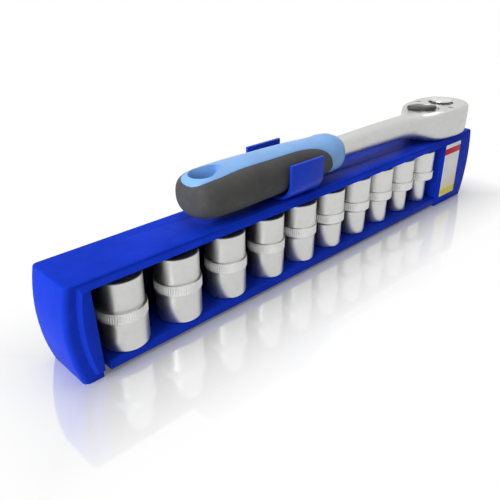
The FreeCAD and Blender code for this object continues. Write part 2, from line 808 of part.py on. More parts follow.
def make_release_spring():
    low = head_top_z - d.hub_top_drop - d.spring_seat_depth
    height = deck_z + d.button_height - d.button_thick - low
    outer = cylinder("spring_outer_tube", (drive_x, 0, low), d.spring_outer, height)
    inner = cylinder("spring_inner_tube", (drive_x, 0, low - 1), d.spring_inner, height + 2)
    return cut("release_spring", outer, inner)


def make_retaining_ball():
    ball = doc.addObject("Part::Sphere", "retaining_ball")
    bind(ball, "Radius", d.ball_radius)
    return place(ball, drive_x, -(d.square_drive / 2 + d.ball_proud - d.ball_radius), square_end_z + d.ball_height)


def make_reversing_lever():
    body = body_named("reversing_lever")
    low = shelf_top_z + d.lever_lift
    arm = d.lever_arm
    half = d.lever_half
    bar = plane_sketch(body, "lever_bar_outline", "XY_Plane", low)
    tip = arm + half * 0.8
    outline(bar, [(-arm, -half), (arm, -half), (tip, 0), (arm, half), (-arm, half), (-tip, 0)],
            {number: d.lever_end_radius for number in (1, 2, 4, 5)})
    pad(body, "lever_bar", bar, d.lever_thick)
    foot = gear_z + d.lever_shaft_floor
    shaft = plane_sketch(body, "lever_shaft_circle", "XY_Plane", foot)
    circle(shaft, 0, 0, d.lever_shaft_radius)
    pad(body, "lever_shaft", shaft, low - foot + d.lever_thick / 2)
    well = plane_sketch(body, "plunger_well_circle", "YZ_Plane", d.lever_shaft_radius + 1)
    circle(well, 0, gear_z + d.plunger_height, d.plunger_radius + d.running_gap)
    pocket(body, "plunger_well", well, d.lever_shaft_radius + 1 - plunger_start + d.plunger_spring_length)
    body.Placement = FreeCAD.Placement(V(0, 0, 0), LEVER_REST)
    return place(body, lever_x, 0, 0)


def beside_lever(name, start, radius, length):
    """A round piece in the lever's well, pointing the way the lever's shaft is turned."""
    x = lever_x + start * math.cos(LEVER_REST.Angle)
    y = start * math.sin(LEVER_REST.Angle)
    return cylinder(name, (x, y, gear_z + d.plunger_height), radius, length, LEVER_REST * ALONG_X)


def make_pawl_plunger():
    return beside_lever("pawl_plunger", plunger_start, d.plunger_radius, d.plunger_length)


def make_plunger_spring():
    return beside_lever("plunger_spring", plunger_start - d.plunger_spring_length, d.plunger_spring_radius,
                        d.plunger_spring_length)


def make_pawl():
    inner = d.gear_radius + d.pawl_gap
    low = gear_z + d.running_gap * 2
    height = gear_top_z - gear_z - d.running_gap * 2
    turn = d.pawl_rest_angle.value
    block = sector("pawl_block", low, inner, inner + d.pawl_thick, d.pawl_half_angle, height, turn)
    gaps = []
    for number in range(PAWL_TEETH):
        angle = math.radians(180 + turn + (number - (PAWL_TEETH - 1) / 2) * 360 / GEAR_TEETH)
        x = drive_x + inner * math.cos(angle)
        y = inner * math.sin(angle)
        gaps.append(cylinder(f"pawl_tooth_gap_{number}", (x, y, low - 1), d.tooth_depth / 2, height + 2))
    return cut("pawl", block, *gaps)


def handle_loft(name, shrink, first, last):
    sections = []
    for number in range(first, last):
        ring = doc.addObject("Part::Ellipse", f"{name}_station_{number}")
        ring.Placement = FreeCAD.Placement(V(0, 0, 0), ALONG_X)
        bind(ring, "MajorRadius", cells[f"station_{number}_width"] - shrink)
        bind(ring, "MinorRadius", cells[f"station_{number}_height"] - shrink)
        sections.append(place(ring, station_x(number), 0, handle_z))
    loft = doc.addObject("Part::Loft", name)
    loft.Sections = sections
    loft.Solid = True
    loft.Ruled = False
    return loft


def make_handle():
    outer = handle_loft("handle_form", 0, 0, len(HANDLE_STATIONS))
    inner = handle_loft("handle_inner_form", d.inlay_thick, 1, len(HANDLE_STATIONS) - 2)
    stripe = flat_sketch("stripe_outline", handle_z + d.stripe_rise)
    side = [
        (stripe_butt_x, d.stripe_butt_half), (stripe_waist_x, d.stripe_waist_half),
        (stripe_mid_x, d.stripe_mid_half), (stripe_nose_x, d.stripe_nose_half),
        (stripe_nose_end_x, d.zone_half),
    ]
    far_butt = station_x(0) - d.zone_spare
    far_nose = station_x(len(HANDLE_STATIONS) - 1) + d.zone_spare
    upper = [(far_butt, d.stripe_end_half)] + side + [(far_nose, d.zone_half)]
    lower = [(x, -y) for x, y in reversed(upper)]
    outline(stripe, lower + upper)
    top = extrude("stripe_zone", stripe, d.zone_half * 2)
    collar = box("collar_zone", (collar_x, -d.zone_half, handle_z - d.zone_half), far_nose - collar_x,
                 d.zone_half * 2, d.zone_half * 2)
    hang = flat_sketch("hang_hole_outline", handle_z - d.zone_half)
    left = hang_hole_x - d.hang_hole_radius
    outline(hang, [
        (left, 0), (hang_hole_x, -d.hang_hole_radius), (hang_hole_tip_x, -d.hang_hole_tip_half),
        (hang_hole_tip_x, d.hang_hole_tip_half), (hang_hole_x, d.hang_hole_radius),
    ], {0: d.hang_hole_radius, 4: d.hang_hole_radius})
    hole = extrude("hang_hole", hang, d.zone_half * 2)
    skin = cut("inlay_skin", outer, inner, top, collar)
    inlay = cut("grip_inlay", skin, hole)
    tang_hole = cylinder("tang_hole", (tang_start_x - 1, 0, shaft_z), d.tang_radius + d.slip_gap,
                         shaft_start_x - tang_start_x + 1, ALONG_X)
    shaft_hole = cylinder("shaft_hole", (shaft_start_x - d.slip_gap, 0, shaft_z), d.shaft_start_radius + 0.2,
                          far_nose - shaft_start_x, ALONG_X)
    core = cut("handle_core", cut("handle_blank", outer, skin), hole, tang_hole, shaft_hole)
    return [core, inlay]


nodes = [make_case_shell(), make_socket_tray(), make_divider_rack(), make_label_plate(), make_tool_clip()]
nodes += [make_socket(across) for across in SOCKETS]
nodes += [make_ratchet_forging(), make_head_cover(), make_cover_screws(), make_drive_gear(), make_release_button()]
nodes += [make_release_spring(), make_retaining_ball(), make_reversing_lever(), make_pawl_plunger()]
nodes += [make_plunger_spring(), make_pawl()]
nodes += make_handle()
doc.recompute()

for thing in doc.Objects:
    if "Invalid" in thing.State or "Error" in thing.State:
        raise RuntimeError(f"{thing.Name} did not build: {thing.State}")
os.makedirs("parts", exist_ok=True)
for node in nodes:
    if node.Shape.isNull() or not node.Shape.isValid():
        raise RuntimeError(f"{node.Label} has no valid shape")
    node.Shape.exportStep(f"parts/{node.Label}.step")
    box_of = node.Shape.BoundBox
    print(f"{node.Label}: {len(node.Shape.Solids)} solid, {node.Shape.Volume:.0f} mm3, "
          f"x {box_of.XMin:.1f}..{box_of.XMax:.1f} y {box_of.YMin:.1f}..{box_of.YMax:.1f} "
          f"z {box_of.ZMin:.1f}..{box_of.ZMax:.1f}")
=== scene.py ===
import math

import bmesh
import bpy
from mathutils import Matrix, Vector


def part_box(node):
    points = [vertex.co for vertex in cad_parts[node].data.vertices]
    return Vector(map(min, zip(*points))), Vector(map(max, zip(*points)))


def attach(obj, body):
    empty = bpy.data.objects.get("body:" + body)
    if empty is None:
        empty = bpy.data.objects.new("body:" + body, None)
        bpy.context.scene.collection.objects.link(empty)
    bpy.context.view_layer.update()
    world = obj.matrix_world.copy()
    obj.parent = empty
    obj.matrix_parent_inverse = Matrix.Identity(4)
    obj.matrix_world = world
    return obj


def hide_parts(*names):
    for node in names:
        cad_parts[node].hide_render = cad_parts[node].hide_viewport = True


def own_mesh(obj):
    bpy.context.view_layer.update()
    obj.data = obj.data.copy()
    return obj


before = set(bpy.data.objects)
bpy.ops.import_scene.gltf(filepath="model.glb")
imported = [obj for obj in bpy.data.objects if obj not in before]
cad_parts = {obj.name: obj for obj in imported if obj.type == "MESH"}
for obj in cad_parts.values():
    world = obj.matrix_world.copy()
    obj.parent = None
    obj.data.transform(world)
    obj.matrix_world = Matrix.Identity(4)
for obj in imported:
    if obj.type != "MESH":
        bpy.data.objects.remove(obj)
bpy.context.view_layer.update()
MM = 0.001

# Socket outlines in mm by hexagon size: diameters of the hexagon end, knurled band and drive end, and the
# height of the band's foot.
SOCKETS = {
    19: (26.0, 26.6, 24.0, 16.9),
    18: (25.0, 26.2, 24.2, 17.6),
    17: (23.4, 24.6, 22.8, 17.3),
    16: (22.2, 23.0, 21.4, 17.2),
    15: (21.4, 23.2, 22.0, 18.1),
    14: (20.2, 23.2, 22.0, 18.4),
    13: (18.8, 23.2, 22.0, 18.6),
    12: (17.4, 23.2, 22.0, 18.6),
    10: (15.6, 23.2, 22.0, 18.5),
    8: (14.2, 23.2, 22.0, 19.3),
}
SQUARE_WIDTH = 12.9
SQUARE_DEPTH = 16.5
HEXAGON_PLAY = 0.15
HEXAGON_DEPTH = 15.0
BORE_RADIUS = 3.5
BAND_HEIGHT = 5.9
KNURL_PITCH = 1.3
KNURL_ROWS = 6
KNURL_DEPTH = 0.3
KNURL_SLANT = 1.2

# Ratchet forging in mm: place along the case, half width, top, bottom, squareness above and below.
FORGING = [
    (-50.0, 5.0, 75.3, 65.3, 2.0, 2.0),
    (14.3, 5.0, 75.3, 65.3, 2.0, 2.0),
    (14.5, 7.2, 77.5, 63.1, 2.0, 2.0),
    (40.0, 7.6, 77.9, 62.7, 2.0, 2.0),
    (70.0, 8.1, 78.2, 62.1, 2.0, 2.0),
    (90.0, 8.5, 78.2, 61.4, 2.0, 2.0),
    (97.0, 8.7, 78.0, 61.0, 2.0, 2.1),
    (104.0, 8.9, 77.8, 60.0, 2.2, 2.3),
    (108.0, 9.3, 77.8, 59.2, 2.5, 2.5),
    (113.0, 10.4, 78.0, 58.0, 2.9, 2.8),
    (117.0, 12.5, 78.5, 57.0, 3.6, 3.0),
    (120.0, 14.7, 79.0, 56.3, 4.6, 3.2),
    (124.0, 17.0, 79.4, 55.6, 7.0, 3.5),
    (129.0, 18.5, 79.5, 55.1, 10.0, 3.8),
    (136.5, 19.4, 79.5, 55.0, 12.0, 4.4),
    (141.0, 19.8, 79.5, 55.0, 12.0, 4.6),
    (146.0, 20.2, 79.5, 55.0, 12.0, 4.8),
    (151.5, 20.36, 79.5, 55.0, 12.0, 5.0),
    (156.5, 20.0, 79.5, 55.0, 12.0, 5.2),
    (160.5, 19.0, 79.5, 55.0, 12.0, 5.4),
    (164.5, 17.0, 79.5, 55.1, 12.0, 5.4),
    (167.5, 14.6, 79.5, 55.4, 12.0, 5.2),
    (170.0, 11.4, 79.5, 56.0, 12.0, 5.0),
    (171.6, 8.2, 79.45, 57.0, 10.0, 4.6),
    (172.6, 5.0, 79.3, 58.6, 8.0, 4.2),
    (173.0, 2.4, 79.0, 60.6, 6.0, 3.6),
]
FORGING_STEP = 6.0
SHAFT_AXIS_Z = 70.3

# Rooms in the ratchet's head, in mm: radii, heights and the place of the cover's screws from the drive.
SEAT_Z = 76.5
ROOM_FLOOR_Z = 58.6
GEAR_ROOM_RADIUS = 14.6
LEVER_BORE_RADIUS = 4.06
RECESS_Z = 78.0
RECESS_WALL = [(RECESS_Z, 12.0), (85.0, 12.8)]
SCREW_RUN = -9.9
SCREW_SIDES = (-13.9, 13.9)

# Reversing lever in mm: half length, half width, squareness, how far its ends lean over, and the share of a run
# along its length that goes each way across the head, since it rests at half a right angle.
LEVER_HALF_LENGTH = 11.0
LEVER_HALF_WIDTH = 3.75
LEVER_SQUARENESS = 2.8
LEVER_BOW = 1.4
SLANT = math.sqrt(0.5)

# Handle in mm: place along the case, half width, half height about its axis.
HANDLE = [
    (-101.5, 0.6, 0.5),
    (-101.42, 4.0, 3.3),
    (-101.2, 7.8, 6.5),
    (-100.3, 11.2, 9.2),
    (-97.3, 13.9, 11.4),
    (-90.5, 15.8, 12.8),
    (-78.0, 16.5, 13.2),
    (-49.0, 16.0, 13.0),
    (-20.0, 14.6, 12.6),
    (2.0, 12.9, 11.8),
    (8.3, 13.1, 12.0),
    (8.7, 12.8, 11.7),
    (11.5, 12.85, 11.75),
    (15.0, 12.4, 11.3),
    (17.0, 11.6, 10.5),
    (18.0, 10.6, 9.6),
    (18.3, 9.6, 8.7),
]
HANDLE_AXIS_Z = 70.0
HANDLE_SQUARENESS = 2.35

# Half angle of the blue stripe about the top of the handle, in degrees, by the place along the case.
STRIPE = [
    (-101.5, 0.15),
    (-101.06, 0.15),
    (-101.0, 17.0),
    (-100.8, 26.0),
    (-100.3, 35.0),
    (-99.3, 40.0),
    (-97.0, 43.0),
    (-91.0, 44.0),
    (-84.0, 43.0),
    (-76.0, 40.0),
    (-66.0, 38.0),
    (-42.0, 38.0),
    (-27.0, 37.5),
    (-16.0, 41.0),
    (-9.0, 48.0),
    (-4.0, 57.0),
    (0.0, 70.0),
    (2.4, 84.0),
    (3.8, 104.0),
]
STRIPE_START = -101.01
STRIPE_END = STRIPE[-1][0]
BUTT_PLACES = [-101.0, -100.9, -100.8, -100.55, -99.9, -99.3, -98.4]
NOSE_PLACES = [-3.0, -1.5, 0.0, 1.2, 2.4, 3.2]
BUTT_CLOSED_X = -100.6
STRIPE_POINTS = 24
GRIP_POINTS = 52
GRIP_DEPTH = 1.4

# Hanging hole in mm: middle and radius of its round end and its narrow end, and how far it widens by the height.
HOLE_BUTT_X, HOLE_BUTT_RADIUS = -90.6, 5.8
HOLE_NOSE_X, HOLE_NOSE_RADIUS = -80.6, 2.6
HOLE_DISH = [(50.0, 0.0), (75.5, 0.0), (79.0, 0.6), (81.2, 1.5), (83.0, 2.5), (90.0, 3.0)]

# How much lower the clip's back arm ends than the solid's, in mm.
BACK_ARM_CUT = 2.4

# Recess of the case in mm, inside which shade is painted: its ends, its floor and its ceiling, and how squarely a
# face has to look into it.
RECESS_ENDS = (-175, 139)
RECESS_HEIGHTS = (1.5, 51.6)
FACING = 0.7

# Half length and half depth of the case's footprint on the floor, in m.
FOOTPRINT = (0.18, 0.0177)

LABEL_YELLOW = (0.86, 0.72, 0.06, 1)
LABEL_RED = (0.62, 0.012, 0.03, 1)


def clear_selection():
    if bpy.context.mode != "OBJECT":
        bpy.ops.object.mode_set(mode="OBJECT")
    bpy.ops.object.select_all(action="DESELECT")


def take(piece):
    clear_selection()
    piece.select_set(True)
    bpy.context.view_layer.objects.active = piece
    return piece


def settle(piece):
    """Puts the piece's place, turn and size into its mesh."""
    take(piece)
    bpy.ops.object.transform_apply(location=True, rotation=True, scale=True)
    return piece


def new_piece(name):
    piece = bpy.context.object
    piece.name = name
    piece.data.name = name
    return settle(piece)


def finish_with(piece, kind, **settings):
    take(piece)
    modifier = piece.modifiers.new(kind.lower(), kind)
    for name, value in settings.items():
        setattr(modifier, name, value)
    bpy.ops.object.modifier_apply(modifier=modifier.name)
    return piece


def close_up(piece):
    """Merges doubles and turns all faces outwards."""
    take(piece)
    bpy.ops.object.mode_set(mode="EDIT")
    bpy.ops.mesh.select_all(action="SELECT")
    bpy.ops.mesh.remove_doubles(threshold=1e-6)
    bpy.ops.mesh.normals_make_consistent(inside=False)
    bpy.ops.object.mode_set(mode="OBJECT")
    return piece


def round_edges(piece, width, segments=2, sharper_than=32):
    return finish_with(piece, "BEVEL", width=width * MM, segments=segments, limit_method="ANGLE",
                       angle_limit=math.radians(sharper_than))


def smooth(piece, angle=32):
    take(piece)
    bpy.ops.object.shade_smooth_by_angle(angle=math.radians(angle))
    return piece


def combine(piece, operation, *others):
    """Joins the piece with others, or cuts it by them, one after another, and removes them."""
    for other in others:
        finish_with(piece, "BOOLEAN", object=other, operation=operation, solver="EXACT")
        bpy.data.objects.remove(other)
    return piece


def carve(piece, *cutters):
    return combine(piece, "DIFFERENCE", *cutters)


def middle_of(node):
    """The middle of a CAD node as seen from above, in mm."""
    low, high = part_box(node)
    return ((low.x + high.x) / 2 / MM, (low.y + high.y) / 2 / MM)


def heights_of(node):
    """The foot and the top of a CAD node, in mm."""
    low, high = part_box(node)
    return low.z / MM, high.z / MM


def turned(name, rings, sides, centre=(0.0, 0.0), turn=0.0):
    """A turned form: a round face drawn up and resized from ring to ring, each a height and a radius in mm."""
    clear_selection()
    height, radius = rings[0]
    x, y = centre[0] * MM, centre[1] * MM
    bpy.ops.mesh.primitive_circle_add(vertices=sides, radius=radius * MM, fill_type="NGON",
                                      location=(x, y, height * MM), rotation=(0, 0, math.radians(turn)))
    piece = new_piece(name)
    bpy.ops.object.mode_set(mode="EDIT")
    bpy.ops.mesh.select_all(action="SELECT")
    for next_height, next_radius in rings[1:]:
        rise = (next_height - height) * MM
        bpy.ops.mesh.extrude_region_move(TRANSFORM_OT_translate={"value": (0, 0, rise)})
        grow = next_radius / radius
        bpy.ops.transform.resize(value=(grow, grow, 1), center_override=(x, y, next_height * MM))
        height, radius = next_height, next_radius
    return close_up(piece)


def lofted(name, rings):
    """A closed form through rings of points in mm: a round face extruded from ring to ring and set to each."""
    clear_selection()
    bpy.ops.mesh.primitive_circle_add(vertices=len(rings[0]), radius=MM, fill_type="NGON")
    piece = new_piece(name)
    bpy.ops.object.mode_set(mode="EDIT")
    mesh = bmesh.from_edit_mesh(piece.data)
    place = mesh.verts.layers.int.new("place")
    for number, vert in enumerate(mesh.verts):
        vert[place] = number
    bpy.ops.mesh.select_all(action="SELECT")
    for number, ring in enumerate(rings):
        if number:
            bpy.ops.mesh.extrude_region_move()
            mesh = bmesh.from_edit_mesh(piece.data)
            place = mesh.verts.layers.int["place"]
        for vert in mesh.verts:
            if vert.select:
                vert.co = [size * MM for size in ring[vert[place]]]
        bmesh.update_edit_mesh(piece.data)
    return close_up(piece)


def block(name, low, high):
    clear_selection()
    middle = [(a + b) / 2 * MM for a, b in zip(low, high)]
    size = [(b - a) * MM for a, b in zip(low, high)]
    bpy.ops.mesh.primitive_cube_add(size=1, location=middle, scale=size)
    return new_piece(name)


def softened(node, name, width, segments=2):
    """A copy of a CAD node's mesh with its triangles joined into faces and its sharp edges rounded."""
    piece = bpy.data.objects.new(name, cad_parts[node].data.copy())
    bpy.context.scene.collection.objects.link(piece)
    piece.data.materials.clear()
    take(piece)
    bpy.ops.object.mode_set(mode="EDIT")
    bpy.ops.mesh.select_all(action="SELECT")
    bpy.ops.mesh.remove_doubles(threshold=2e-6)
    bpy.ops.mesh.customdata_custom_splitnormals_clear()
    bpy.ops.mesh.dissolve_limited(angle_limit=math.radians(0.4))
    bpy.ops.object.mode_set(mode="OBJECT")
    round_edges(piece, width, segments)
    return smooth(piece)


def steepness(table, row, column):
    """The slope of one column at a row, never so steep that the line overshoots its stations."""
    if row == 0 or row == len(table) - 1:
        return 0.0
    here, before, after = table[row], table[row - 1], table[row + 1]
    first = (here[column] - before[column]) / (here[0] - before[0])
    second = (after[column] - here[column]) / (after[0] - here[0])
    return 2 * first * second / (first + second) if first * second > 0 else 0.0


def along(table, x):
    """The table's values at x, drawn smoothly from station to station."""
    if x <= table[0][0]:
        return table[0][1:]
    if x >= table[-1][0]:
        return table[-1][1:]
    row = next(number for number in range(len(table) - 1) if table[number + 1][0] >= x)
    low, high = table[row], table[row + 1]
    span = high[0] - low[0]
    t = (x - low[0]) / span
    values = []
    for column in range(1, len(low)):
        start = steepness(table, row, column) * span
        end = steepness(table, row + 1, column) * span
        values.append(low[column] * (1 + 2 * t) * (1 - t) ** 2 + start * t * (1 - t) ** 2
                      + high[column] * t * t * (3 - 2 * t) + end * t * t * (t - 1))
    return values


def stations(table, step):
    """Places along a table: each station, and more between stations that are further apart than the step."""
    places = []
    for low, high in zip(table, table[1:]):
        parts = max(1, round((high[0] - low[0]) / step))
        places += [low[0] + (high[0] - low[0]) * part / parts for part in range(parts)]
    return places + [table[-1][0]]


def squared(angle, half_width, half_height, power):
    """How far a rounded rectangle's edge lies from its middle, at an angle from the top."""
    across = abs(math.sin(angle)) / half_width
    up = abs(math.cos(angle)) / half_height
    return (across ** power + up ** power) ** (-1 / power)


def socket_rings(hex_end, band, drive_end, band_low, top):
    """Heights and radii of a socket from its hexagon end up."""
    lower, middle, upper = hex_end / 2, band / 2, drive_end / 2
    band_top = band_low + BAND_HEIGHT
    ledge = middle - upper
    foot = [(0, lower - 1.0), (0.25, lower - 0.5), (0.6, lower - 0.16), (1.1, lower)]
    flare = [(band_low - 2.2, lower), (band_low - 1.7, lower + 0.05), (band_low - 0.35, middle - 0.4)]
    rows = [(band_low + BAND_HEIGHT * row / KNURL_ROWS, middle) for row in range(KNURL_ROWS + 1)]
    neck = [(band_top + 0.15, middle - 0.3 * ledge), (band_top + 0.3, upper - 0.1),
            (band_top + 0.8, upper - 0.1), (band_top + 1.5, upper)]
    mouth = [(top - 1.1, upper), (top - 0.6, upper - 0.16), (top - 0.25, upper - 0.5), (top, upper - 1.0)]
    return foot + flare + rows + neck + mouth


def press_knurl(piece, centre, low, radius, sides):
    """Presses the band's inner rows into ribs of four points each, and turns the rows to set the ribs aslant."""
    step = 2 * math.pi / sides
    for vert in piece.data.vertices:
        x, y = vert.co.x - centre[0] * MM, vert.co.y - centre[1] * MM
        row = (vert.co.z / MM - low) / BAND_HEIGHT * KNURL_ROWS
        if abs(math.hypot(x, y) - radius * MM) > 1e-6 or not 0.5 < row < KNURL_ROWS - 0.5:
            continue
        angle = math.atan2(y, x)
        reach = radius - KNURL_DEPTH * (0.0, 0.5, 1.0, 0.5)[round(angle / step) % 4]
        angle += (row / KNURL_ROWS - 0.5) * KNURL_SLANT * step
        vert.co.x = (centre[0] + reach * math.cos(angle)) * MM
        vert.co.y = (centre[1] + reach * math.sin(angle)) * MM


def make_socket(across):
    node = f"socket_{across}mm"
    centre = middle_of(node)
    foot, top = heights_of(node)
    hex_end, band, drive_end, band_low = SOCKETS[across]
    sides = 4 * round(math.pi * band / KNURL_PITCH)
    outline = socket_rings(hex_end, band, drive_end, band_low, top - foot)
    rings = [(foot + height, radius) for height, radius in outline]
    piece = turned(f"socket_{across}_turned", rings, sides, centre)
    press_knurl(piece, centre, foot + band_low, band / 2, sides)
    corner = SQUARE_WIDTH / 2 * math.sqrt(2)
    square = [(top - SQUARE_DEPTH, corner), (top - 0.7, corner), (top + 1, corner + 2.2)]
    point = (across + HEXAGON_PLAY) / 2 / math.cos(math.radians(30))
    hexagon = [(foot - 1, point + 1.5), (foot + 0.5, point), (foot + HEXAGON_DEPTH, point)]
    bore = [(foot + 10, BORE_RADIUS), (foot + 30, BORE_RADIUS)]
    carve(
        piece,
        turned("square_cutter", square, 4, centre, 45),
        turned("hexagon_cutter", hexagon, 6, centre, 30),
        turned("bore_cutter", bore, 32, centre),
    )
    smooth(piece, 28)
    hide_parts(node)
    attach(piece, f"socket_{across}")
    return piece


def forging_ring(x, points=72):
    half_width, top, bottom, upper, lower = along(FORGING, x)
    ring = []
    for number in range(points):
        angle = 2 * math.pi * number / points
        if math.cos(angle) > 0:
            reach = squared(angle, half_width, top - SHAFT_AXIS_Z, upper)
        else:
            reach = squared(angle, half_width, SHAFT_AXIS_Z - bottom, lower)
        ring.append((x, reach * math.sin(angle), SHAFT_AXIS_Z + reach * math.cos(angle)))
    return ring


def pear(radius, neck_x, neck_half, low, high):
    """A cutter with the outline of the head's cover: round at the drive, straight to the neck."""
    drive_x = middle_of("drive_gear")[0]
    lean = math.asin((radius - neck_half) / (drive_x - neck_x))
    reach = math.pi / 2 + lean
    outline = []
    for number in range(49):
        angle = -reach + 2 * reach * number / 48
        outline.append((drive_x + radius * math.cos(angle), radius * math.sin(angle)))
    outline += [(neck_x, neck_half), (neck_x, -neck_half)]
    return lofted("cover_seat_cutter", [[(x, y, z) for x, y in outline] for z in (low, high)])


def make_forging():
    piece = lofted("ratchet_forged_body", [forging_ring(x) for x in stations(FORGING, FORGING_STEP)])
    drive, lever = middle_of("drive_gear"), middle_of("reversing_lever")
    gear_room = [(ROOM_FLOOR_Z, GEAR_ROOM_RADIUS), (78.0, GEAR_ROOM_RADIUS)]
    lever_bore = [(ROOM_FLOOR_Z, LEVER_BORE_RADIUS), (RECESS_Z, LEVER_BORE_RADIUS)]
    carve(
        piece,
        pear(18.6, 112.5, 8.0, SEAT_Z, 85.0),
        turned("gear_room_cutter", gear_room, 96, drive),
        turned("journal_cutter", [(50.0, 10.96), (60.0, 10.96)], 96, drive),
        turned("lever_bore_cutter", lever_bore, 48, lever),
        turned("lever_recess_cutter", RECESS_WALL, 96, lever),
        block("pawl_room_cutter", (131.7, -11.2, ROOM_FLOOR_Z), (140.5, 11.2, 77.2)),
        block("plunger_window_cutter", (126.0, -6.2, 61.6), (134.0, 6.2, 71.6)),
    )
    smooth(piece, 30)
    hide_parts("ratchet_forging")
    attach(piece, "ratchet")
    return piece


def make_cover():
    """The head's cover, flush with the forging round it, with bores for the drive, the lever and the screws."""
    piece = lofted("head_cover_plate", [forging_ring(x) for x in stations(FORGING, FORGING_STEP) if x > 100])
    combine(piece, "INTERSECT", pear(18.52, 112.6, 7.94, SEAT_Z + 0.02, 85.0))
    drive, lever = middle_of("drive_gear"), middle_of("reversing_lever")
    lever_hole = [(70.0, LEVER_BORE_RADIUS), (RECESS_Z, LEVER_BORE_RADIUS)] + RECESS_WALL
    carve(piece, turned("hub_cutter", [(70.0, 9.46), (79.2, 9.46), (82.0, 12.0)], 96, drive),
          turned("lever_cutter", lever_hole, 96, lever))
    screw_hole = [(70.0, 1.55), (78.3, 1.55), (78.3, 2.16), (85.0, 2.16)]
    for side in SCREW_SIDES:
        carve(piece, turned("screw_cutter", screw_hole, 40, (drive[0] + SCREW_RUN, side)))
    smooth(piece, 30)
    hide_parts("head_cover")
    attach(piece, "ratchet")
    return piece


def on_lever(pivot, run, side, height):
    """A point of the lever by its run along the lever and its side step across it."""
    return (pivot[0] + (run + side) * SLANT, pivot[1] + (side - run) * SLANT, height)


def lever_ring(pivot, height, inset):
    """A kidney outline set slantwise across the head: a long rounded bar whose ends lean towards the drive."""
    ring = []
    for number in range(64):
        angle = 2 * math.pi * number / 64
        reach = squared(angle, LEVER_HALF_LENGTH - inset, LEVER_HALF_WIDTH - inset, LEVER_SQUARENESS)
        run, side = reach * math.sin(angle), reach * math.cos(angle)
        side += LEVER_BOW * (run / 10) ** 2 - 0.3
        run -= 0.6
        ring.append(on_lever(pivot, run, side, height))
    return ring


def plunger_well(pivot, height=66.6, radius=1.46):
    """A round cutter along the lever, for the plunger and its spring in the lever's shaft."""
    rings = []
    for run in (-0.85, 6.0):
        angles = [math.pi * number / 12 for number in range(24)]
        rings.append([on_lever(pivot, run, radius * math.cos(angle), height + radius * math.sin(angle))
                      for angle in angles])
    return lofted("plunger_well_cutter", rings)


def make_lever():
    pivot = middle_of("reversing_lever")
    foot, top = heights_of("reversing_lever")
    steps = [(2.6, 0.7), (2.35, 0.25), (2.0, 0.0), (1.0, 0.0), (0.55, 0.22), (0.22, 0.7), (0.05, 1.3), (0.0, 2.0)]
    piece = lofted("lever_paddle", [lever_ring(pivot, top - drop, inset) for drop, inset in steps])
    combine(piece, "UNION", turned("lever_shaft", [(foot, 4.0), (top - 1.5, 4.0)], 48, pivot))
    carve(piece, plunger_well(pivot))
    smooth(piece, 35)
    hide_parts("reversing_lever")
    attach(piece, "lever")
    return piece


def handle_point(x, angle, inset):
    half_width, half_height = along(HANDLE, x)
    reach = max(squared(angle, half_width, half_height, HANDLE_SQUARENESS) - inset, 0.15)
    return (x, reach * math.sin(angle), HANDLE_AXIS_Z + reach * math.cos(angle))


def stripe_angle(x):
    return math.radians(along(STRIPE, x)[0])


def bed_depth(x):
    """How far the bed of the grip lies in: its usual depth, or down to the axis where the grip closes the butt."""
    return 20.0 if x < BUTT_CLOSED_X else GRIP_DEPTH


def core_ring(x):
    """The blue moulding's ring: the stripe at the full size, and the bed of the grip set in."""
    half = stripe_angle(x)
    under = bed_depth(x) if x < STRIPE_END + 0.1 else 0.0
    edge = math.radians(1.2)
    ring = []
    for number in range(STRIPE_POINTS + 1):
        angle = half * (2 * number / STRIPE_POINTS - 1)
        rim = number in (0, STRIPE_POINTS)
        ring.append(handle_point(x, angle, 0.25 if rim and under else 0.0))
    for number in range(GRIP_POINTS + 1):
        angle = half + edge + (2 * math.pi - 2 * half - 2 * edge) * number / GRIP_POINTS
        ring.append(handle_point(x, angle, under))
    return ring


def grip_ring(x):
    """The grip's ring: its outer face from border to border, and back along its inner face."""
    half = stripe_angle(x)
    half += min(math.radians(0.8), 0.2 * half)
    lap = math.radians(1.6)
    ring = []
    for number in range(GRIP_POINTS + 1):
        angle = half + (2 * math.pi - 2 * half) * number / GRIP_POINTS
        ring.append(handle_point(x, angle, 0.3 if number in (0, GRIP_POINTS) else -0.12))
    for number in range(GRIP_POINTS, -1, -1):
        angle = half + lap / 2 + (2 * math.pi - 2 * half - lap) * number / GRIP_POINTS
        ring.append(handle_point(x, angle, bed_depth(x) - 0.15))
    return ring


def hang_hole():
    """A cutter for the hanging hole: round at the butt's side, narrow at the nose's side, dished at the top."""
    rings = []
    for z, dish in HOLE_DISH:
        ring = []
        for number in range(25):
            angle = math.radians(78 + 204 * number / 24)
            radius = HOLE_BUTT_RADIUS + dish
            ring.append((HOLE_BUTT_X - 0.4 * dish + radius * math.cos(angle), radius * math.sin(angle), z))
        for number in range(13):
            angle = math.radians(-78 + 156 * number / 12)
            radius = HOLE_NOSE_RADIUS + 0.6 * dish
            ring.append((HOLE_NOSE_X - 0.8 * dish + radius * math.cos(angle), radius * math.sin(angle), z))
        rings.append(ring)
    return lofted("hang_hole_cutter", rings)


def shaft_hole(name, start, end, radius):
    """A round cutter along the case, for the shaft and its tang."""
    angles = [math.pi * number / 24 for number in range(48)]
    ring = [(radius * math.cos(angle), SHAFT_AXIS_Z + radius * math.sin(angle)) for angle in angles]
    return lofted(name, [[(x, y, z) for y, z in ring] for x in (start, end)])


